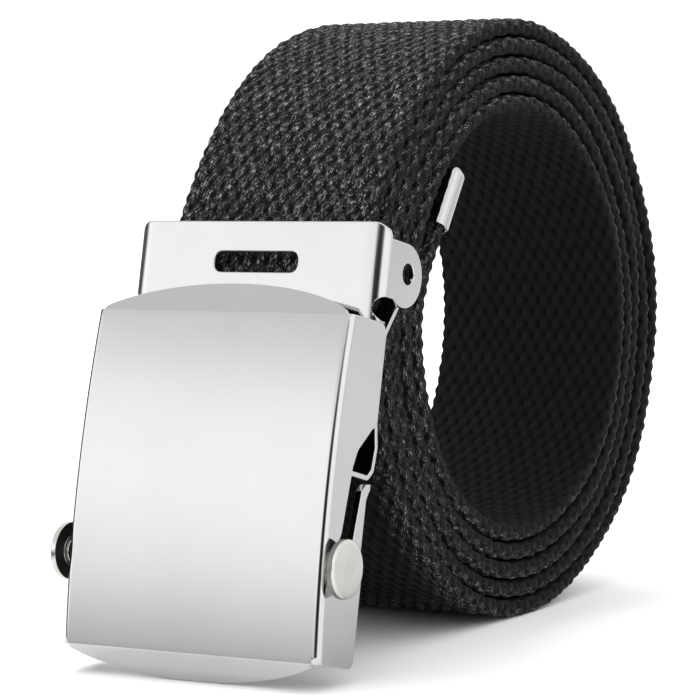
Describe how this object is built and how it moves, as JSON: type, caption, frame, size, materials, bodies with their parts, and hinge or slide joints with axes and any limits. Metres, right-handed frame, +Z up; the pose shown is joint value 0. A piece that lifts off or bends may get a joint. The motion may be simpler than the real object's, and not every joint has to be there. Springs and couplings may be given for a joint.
{
  "type": "canvas web belt",
  "caption": "Rolled canvas web belt with a metal-tipped end and a polished roller box buckle clamped to the other end.",
  "frame": {"origin": "on the floor under the middle of the belt's bounding box", "axes": "+Z up from the floor, +X along the width of the web and the roll's axis, the buckle's face looks to -Y"},
  "size_m": [0.0506, 0.1212, 0.0966],
  "materials": {
    "web": "coarse woven canvas, matt, near black",
    "tip": "polished nickel plate",
    "buckle_steel": "polished nickel plate",
    "roller_steel": "satin nickel plate"
  },
  "bodies": {
    "belt": {"web": "web", "web_tip": "tip", "shell": "buckle_steel", "end_clamp": "buckle_steel", "back_plate": "buckle_steel"},
    "roller": {"roller_bar": "roller_steel", "knob_right": "roller_steel", "knob_left": "roller_steel"}
  },
  "joints": [
    {"name": "roller_slide", "type": "slide", "parent": "belt", "child": "roller", "axis": [0, 0.7385, 0.6743], "range_m": [0, 0.00458]}
  ]
}
